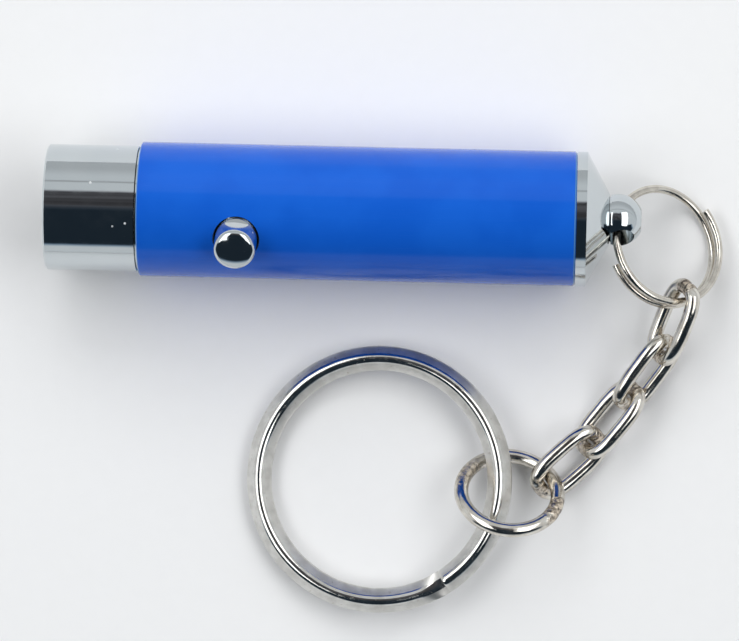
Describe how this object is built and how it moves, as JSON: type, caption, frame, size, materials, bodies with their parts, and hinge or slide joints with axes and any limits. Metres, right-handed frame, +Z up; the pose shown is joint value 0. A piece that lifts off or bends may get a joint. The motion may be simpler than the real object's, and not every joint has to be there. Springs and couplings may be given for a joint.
{
  "type": "keychain flashlight",
  "caption": "Small round button-cell flashlight in a lacquered tube, with a side push button, a screw-off tail cap, a short chain and a split key ring.",
  "frame": {"origin": "on the tube's axis at the nose's front rim", "axes": "+X along the axis from nose to tail; +Z up as the light lies on a surface; the chain and rings lie on the -Y side"},
  "size_m": [0.0638, 0.0441, 0.015],
  "materials": {
    "blue_lacquer": "gloss",
    "chrome_plate": "polished",
    "nickel_wire": "polished, slightly warm",
    "key_ring_steel": "polished",
    "spring_steel": "drawn wire",
    "cell_steel": "satin",
    "clear_resin": "clear, glossy",
    "tinned_copper": "tinned",
    "white_plastic": "moulded",
    "board_green": "solder mask",
    "black_plastic": "moulded",
    "sleeve_film": "thin film"
  },
  "bodies": {
    "light_body": {"body_tube": "blue_lacquer", "nose_shell": "chrome_plate", "led_bulb": "clear_resin", "led_leads": "tinned_copper", "led_holder": "white_plastic", "circuit_board": "board_green", "resistor": "black_plastic", "switch_body": "black_plastic", "switch_terminals": "tinned_copper", "contact_disc": "board_green", "front_spring": "spring_steel", "battery_sleeve": "sleeve_film", "battery_cell_1": "cell_steel", "battery_cell_2": "cell_steel", "battery_cell_3": "cell_steel"},
    "button": {"push_button": "chrome_plate"},
    "plunger": {"switch_plunger": "white_plastic"},
    "tail_contact": {"tail_spring": "spring_steel"},
    "tail_cap": {"tail_cap": "chrome_plate"},
    "split_ring": {"split_ring": "nickel_wire"},
    "link_1": {"chain_link_1": "nickel_wire"},
    "link_2": {"chain_link_2": "nickel_wire"},
    "link_3": {"chain_link_3": "nickel_wire"},
    "link_4": {"chain_link_4": "nickel_wire"},
    "jump_ring": {"jump_ring": "nickel_wire"},
    "key_ring": {"key_ring": "key_ring_steel"}
  },
  "joints": [
    {"name": "button_press", "type": "slide", "parent": "light_body", "child": "button", "axis": [0, 0.4384, -0.8988], "range_m": [0, 0.00035], "stiffness_N_per_m": 3000, "springref_m": -0.0005},
    {"name": "plunger_travel", "type": "slide", "parent": "light_body", "child": "plunger", "axis": [0, 0.4384, -0.8988], "range_m": [0, 0.00035]},
    {"name": "tail_advance", "type": "slide", "parent": "light_body", "child": "tail_contact", "axis": [1, 0, 0], "range_m": [0, 0.003]},
    {"name": "tail_unscrew", "type": "hinge", "parent": "tail_contact", "child": "tail_cap", "pos_m": [0.05, 0, 0], "axis": [1, 0, 0], "range_deg": [0, 1440.01]},
    {"name": "split_ring_swing", "type": "hinge", "parent": "tail_cap", "child": "split_ring", "pos_m": [0.0541, 0, 0], "axis": [0, -0.8192, 0.5736], "range_deg": [-25, 60]},
    {"name": "link_1_swing", "type": "hinge", "parent": "split_ring", "child": "link_1", "pos_m": [0.05835, -0.0023, -0.0024], "axis": [0.5283, 0.2577, 0.809], "range_deg": [-18, 24]},
    {"name": "link_2_swing", "type": "hinge", "parent": "link_1", "child": "link_2", "pos_m": [0.05802, -0.0128, -0.00321], "axis": [-0.4875, 0.448, -0.7494], "range_deg": [-50, 12]},
    {"name": "link_3_swing", "type": "hinge", "parent": "link_2", "child": "link_3", "pos_m": [0.0548, -0.01737, -0.00415], "axis": [0.5352, -0.2356, -0.8112], "range_deg": [-45, 18]},
    {"name": "link_4_swing", "type": "hinge", "parent": "link_3", "child": "link_4", "pos_m": [0.05124, -0.02178, -0.00435], "axis": [0.506, -0.4601, 0.7296], "range_deg": [-20, 60]},
    {"name": "jump_ring_swing", "type": "hinge", "parent": "link_4", "child": "jump_ring", "pos_m": [0.04702, -0.0256, -0.00422], "axis": [-0.506, 0.5755, 0.6424], "range_deg": [-20, 60]},
    {"name": "key_ring_swing", "type": "hinge", "parent": "jump_ring", "child": "key_ring", "pos_m": [0.0432, -0.02593, -0.00315], "axis": [0.0718, 0.9974, 0.0063], "range_deg": [-9, 90]}
  ],
  "couplings": [
    {"joint": "plunger_travel", "follows": "button_press", "ratio": 1},
    {"joint": "tail_unscrew", "follows": "tail_advance", "rad_per_m": 8377.6}
  ]
}
